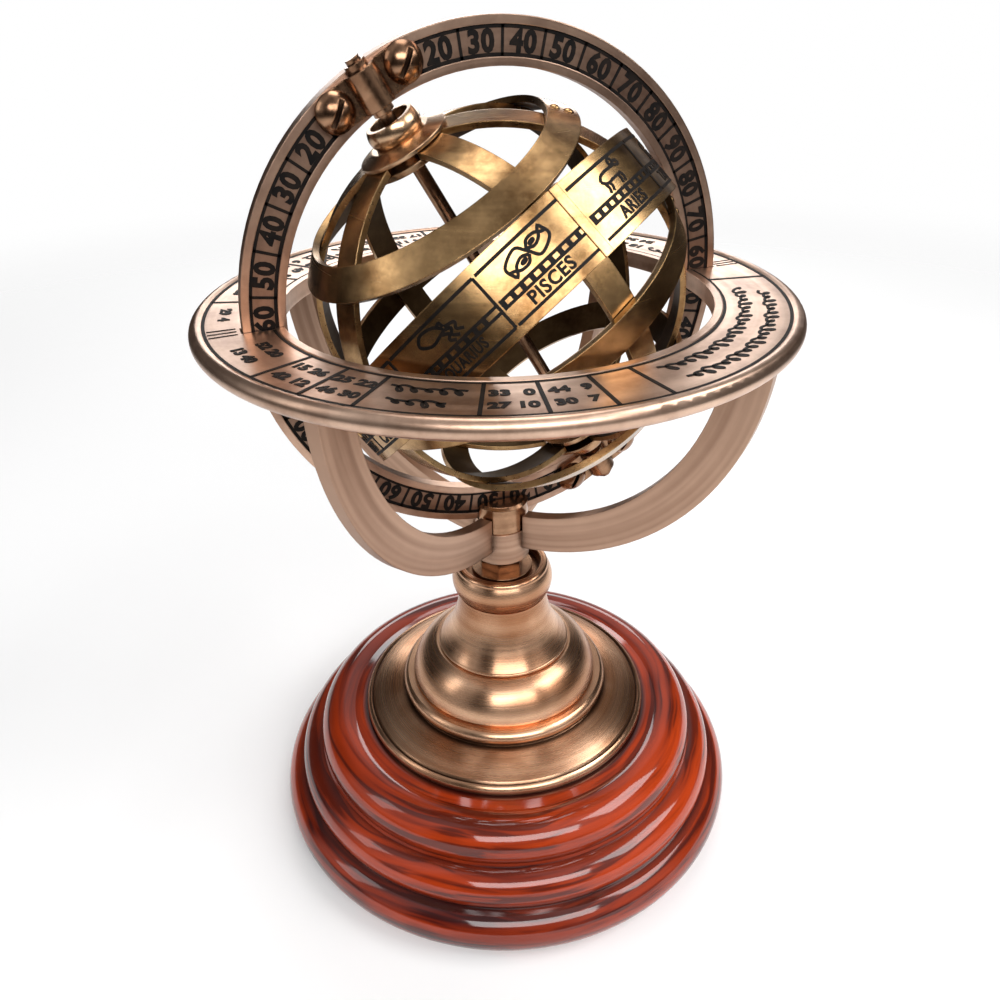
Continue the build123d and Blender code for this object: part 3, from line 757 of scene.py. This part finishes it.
# %% The twelve pictures
PICTURES = {
    "ARIES": beast(0.9, -0.55) + [
        oval(2.1, 0.9, 1.0, 0.7, -20),
        bend((1.9, 1.2), (1.5, 1.9), (0.9, 1.5), (1.2, 0.9), (1.6, 1.2)),
    ],
    "TAURUS": beast(1.0, -0.75) + [
        oval(2.2, 0.7, 1.1, 0.8, -30),
        bend((1.5, 1.8), (1.8, 1.1), (2.6, 1.2), (2.8, 1.9)),
    ],
    "GEMINI": both_sides(twin),
    "CANCER": [oval(0, -0.1, 2.4, 1.9)] + both_sides(claw + crab_legs),
    "LEO": beast(0.7, -0.4) + [
        oval(2.0, 0.9, 1.7, 1.6),
        oval(2.15, 0.9, 0.8, 0.8),
        bend((-2.1, 0.1), (-3.0, 0.5), (-2.7, 1.5), (-3.1, 1.8)),
    ],
    "VIRGO": ear_of_wheat,
    "LIBRA": [
        bend((-1.9, 1.2), (0, 1.5), (1.9, 1.2)),
        bend((0, 1.8), (0, -1.6)),
        bend((-0.8, -1.7), (0.8, -1.7)),
    ] + both_sides(scale_pan),
    "SCORPIO": [
        oval(0.2, -0.5, 2.2, 1.1),
        bend((-0.9, -0.5), (-2.2, -0.3), (-2.7, 0.8), (-1.7, 1.6), (-0.9, 1.1)),
        bend((1.2, -0.3), (2.2, 0.2), (2.0, 1.1), (2.9, 0.7)),
        bend((1.2, -0.8), (2.3, -1.2), (2.9, -0.5)),
    ] + [bend((x, -1.0), (x - 0.1, -1.8)) for x in (-0.5, 0.1, 0.7, 1.2)],
    "SAGITTARIUS": [
        bend((-1.2, -1.9), (1.4, -1.2), (1.3, 1.1), (-1.2, 1.9)),
        bend((-1.2, -1.9), (-1.2, 1.9)),
        bend((-2.8, 0), (2.8, 0)),
        bend((1.9, 0.6), (2.8, 0), (1.9, -0.6)),
        bend((-2.9, 0.6), (-2.2, 0), (-2.9, -0.6)),
    ],
    "CAPRICORN": [
        oval(1.9, 0.8, 1.1, 0.8, -25),
        bend((1.6, 1.1), (1.0, 1.9), (0.2, 1.8)),
        bend((1.5, 0.4), (0, 0.7), (-1.8, 0.2), (-2.7, 1.0), (-2.0, 1.7), (-1.5, 1.1)),
        bend((1.6, 0.2), (0.6, -0.6), (-1.2, -0.6), (-1.8, 0.2)),
        bend((1.0, -0.4), (1.7, -1.1), (1.3, -1.8)),
        bend((0.4, -0.6), (0.2, -1.2), (-0.2, -1.8)),
    ],
    "AQUARIUS": [
        bend((-2.5, 0.6), (-1.6, 1.7), (0.1, 1.3), (0.9, 0.2), (0.2, -0.1), (-1.3, -0.4), closed=True),
        bend((0.3, 1.0), (1.0, 1.2), (1.1, 0.5)),
        bend((0.9, 0.1), (1.7, -0.3), (1.3, -1.0), (2.0, -1.7)),
        bend((0.4, -0.2), (1.1, -0.7), (0.7, -1.3), (1.3, -1.9)),
        bend((1.2, 0.4), (2.4, 0.0), (2.1, -0.8), (2.8, -1.4)),
    ],
    "PISCES": fish(-1.3, -0.7, 0.25) + fish(1.3, 0.7, 0.25 + math.pi) + [
        bend((-2.7, -1.5), (-3.0, 0.3), (-1.0, 1.4), (0.0, 0.1), (1.0, -1.4), (3.0, -0.3), (2.7, 1.5)),
    ],
}
print(len(PICTURES), "pictures,", sum(len(strokes) for strokes in PICTURES.values()), "strokes")

# %% [markdown]
# The band leans against the equator and is turned round the pole, so its chart is wrapped round a
# cylinder, and the cylinder is then leant, turned and tilted as the band itself was. To measure
# the band, the same turns are undone on its own corner points.

# %% Onto the zodiac band
BAND_LEAN = 29.0
BAND_WAY = 102.5
FIRST_CELL = 188.8
LAP_START = 186.0
CELL = 30.0


def corner_points(node):
    """The corner points of a part of the frame, in millimetres."""
    flat = np.empty(len(nodes[node].data.vertices) * 3)
    nodes[node].data.vertices.foreach_get("co", flat)
    return flat.reshape(-1, 3) / MM


def turned(points, angle, first, second):
    """Turns points by an angle in degrees, from one axis towards another."""
    cosine, sine = math.cos(math.radians(angle)), math.sin(math.radians(angle))
    result = points.copy()
    result[:, first] = points[:, first] * cosine - points[:, second] * sine
    result[:, second] = points[:, first] * sine + points[:, second] * cosine
    return result


band = turned(corner_points("zodiac_band") - cage_centre, -TILT, 0, 2)
band = turned(turned(band, -BAND_WAY, 0, 1), BAND_LEAN, 0, 2)
band_r = np.hypot(band[:, 0], band[:, 1]).max()
band_half = band[:, 2].max()
print("zodiac band radius", round(float(band_r), 3), "half width", round(float(band_half), 3))


def on_band(flat):
    """Chart to band: along becomes the angle round it, and height a longer radius."""
    angle = flat[:, 0] / band_r
    reach = band_r + flat[:, 2]
    round_axis = np.stack([reach * np.cos(angle), reach * np.sin(angle), flat[:, 1]], 1)
    return tilted(turned(turned(round_axis, -BAND_LEAN, 0, 2), BAND_WAY, 0, 1)) + cage_centre


def along_band(start, end, across, width):
    """A line round part of the band, between two angles."""
    angle = np.radians(np.linspace(start, end, int(abs(end - start)) + 2))
    return ribbon(np.stack([angle * band_r, np.full(len(angle), across)], 1), width)


def across_band(angle, low, high, width):
    """A line across the band at an angle."""
    place = math.radians(angle) * band_r
    return ribbon([(place, low), (place, (low + high) / 2), (place, high)], width)


# %% [markdown]
# Each cell has a line at the top, the ladder between two rails, and a line at the foot. The
# picture stands above the ladder and the name below it. The last cell is cut short by the lap.

# %% Zodiac band
TOP_LINE, LADDER_TOP, LADDER_FOOT, FOOT_LINE = 3.9, -0.45, -1.45, -3.95
LINE, RAIL, RUNG, STROKE = 0.45, 0.42, 0.7, 0.42
STEP = 3.0
STRETCH = (1.15, 0.95)
NAME_TALL, NAME_WEIGHT, NAME_GAP, LONG_NAME = 1.85, 0.035, 1.12, 8
art = []
for number, (name, strokes) in enumerate(PICTURES.items()):
    start = FIRST_CELL + CELL * number
    at_lap = number == len(PICTURES) - 1
    end = LAP_START + 360 if at_lap else start + CELL
    middle = math.radians((start + end) / 2) * band_r
    for across, width in ((TOP_LINE, LINE), (LADDER_TOP, RAIL), (LADDER_FOOT, RAIL), (FOOT_LINE, RAIL)):
        art.append(along_band(start + 0.8, end, across, width))
    for step in range(int((end - start) / STEP)):
        art.append(across_band(start + STEP * (step + 0.5), LADDER_FOOT, LADDER_TOP, RUNG))
    if not at_lap:
        art.append(across_band(end, FOOT_LINE, TOP_LINE, RAIL))
    picture_row, name_row = (TOP_LINE + LADDER_TOP) / 2, (LADDER_FOOT + FOOT_LINE) / 2
    art += [moved(ribbon(path * STRETCH, STROKE), middle, picture_row) for path in strokes]
    wide = 0.95 if len(name) < LONG_NAME else 0.75
    art.append(moved(letters(name, NAME_TALL, NAME_WEIGHT, wide, NAME_GAP), middle, name_row))
piece("zodiac_engraving", art, on_band, enamel, "sphere")

LAP_LOW, LAP_HIGH = -0.05, 0.15
lap_middle = math.radians((LAP_START + FIRST_CELL) / 2) * band_r
lap_width = math.radians(FIRST_CELL - LAP_START) * band_r
lap_path = np.stack([np.full(3, lap_middle), np.array([-1, 0, 1]) * band_half], 1)
lap = ribbon(lap_path, lap_width, LAP_LOW, LAP_HIGH)
piece("zodiac_lap", [lap], on_band, hoop_brass, "sphere")

# %% [markdown]
# The floor is a wide pale table that fades out towards its edge. The lamps are large and soft, and
# the room beyond them is dim, with three pale panels and a fainter pale ceiling, so that the brass
# has something bright and something dark to show. What the camera itself sees past the table is
# white.

# %% Table, room and lamps
scene.view_settings.view_transform = "Standard"
TABLE_R = 0.9                       # metres
FADE_START, FADE_END = 0.16, 0.6    # metres from the middle
floor_mesh = bpy.data.meshes.new("table")
rim = arc(TABLE_R, 0, 360, 5)[:-1]
floor_mesh.from_pydata(np.column_stack([rim, np.zeros(len(rim))]).tolist(), [], [list(range(len(rim)))])
floor = bpy.data.objects.new("table", floor_mesh)
scene.collection.objects.link(floor)
pale, shader, start = new_finish(
    "pale_table", Base_Color=(0.8, 0.8, 0.8, 1), Roughness=0.8, Specular_IOR_Level=0.0,
    Emission_Color=(1, 1, 1, 1), Emission_Strength=0.12)
x, y, _ = axes(start, object_place(start))
(1 - ((x * x + y * y) ** 0.5).between(FADE_START, FADE_END)).into(shader, "Alpha")
floor_mesh.materials.append(pale)

room = bpy.data.worlds.new("room")
scene.world = room
room.use_nodes = True
air = room.node_tree.nodes["Background"]
start = Wire(room.node_tree)
east, north, height = axes(start, start.node("ShaderNodeTexCoord", out=0))
PANELS, FIRST_PANEL = 3.0, math.pi
way = start.sum("ARCTAN2", north, east)
panel = start.sum("COSINE", way * PANELS + FIRST_PANEL).between(-0.2, 0.7) * height.between(-0.1, 0.25)
glow = (panel * 0.65 + height.between(0.5, 0.9) * 0.35).mix((0.025, 0.020, 0.017), (0.62, 0.62, 0.63))
seen = start.node("ShaderNodeLightPath", out=0)
seen.mix(glow, (1.0, 1.0, 1.0)).into(air, "Color")


LAMP_AIM = 60            # height that every lamp points at


def lamp(name, way, rise, distance, wide, tall, brightness):
    """A soft lamp that faces the object from a direction and an angle above the table, in
    degrees. Its power is its area times pi times how bright its face is."""
    data = bpy.data.lights.new(name, "AREA")
    data.shape = "RECTANGLE"
    data.size, data.size_y = wide * MM, tall * MM
    data.energy = brightness * math.pi * data.size * data.size_y
    obj = bpy.data.objects.new(name, data)
    scene.collection.objects.link(obj)
    way, rise = math.radians(way), math.radians(rise)
    aim = Vector((0, 0, LAMP_AIM)) * MM
    arm = Vector((math.cos(way) * math.cos(rise), math.sin(way) * math.cos(rise), math.sin(rise)))
    turn = arm.to_track_quat("Z", "Y").to_matrix().to_4x4()
    obj.matrix_world = Matrix.Translation(aim + arm * distance * MM) @ turn


lamp("front window", -100, 36, 520, 460, 190, 7.5)
lamp("right window", -32, 45, 520, 320, 220, 6.5)
lamp("top screen", 60, 76, 480, 220, 220, 5.0)
lamp("left screen", 175, 30, 520, 110, 260, 2.2)
lamp("back screen", 70, 20, 480, 420, 110, 4.5)
print("table, room and five lamps")
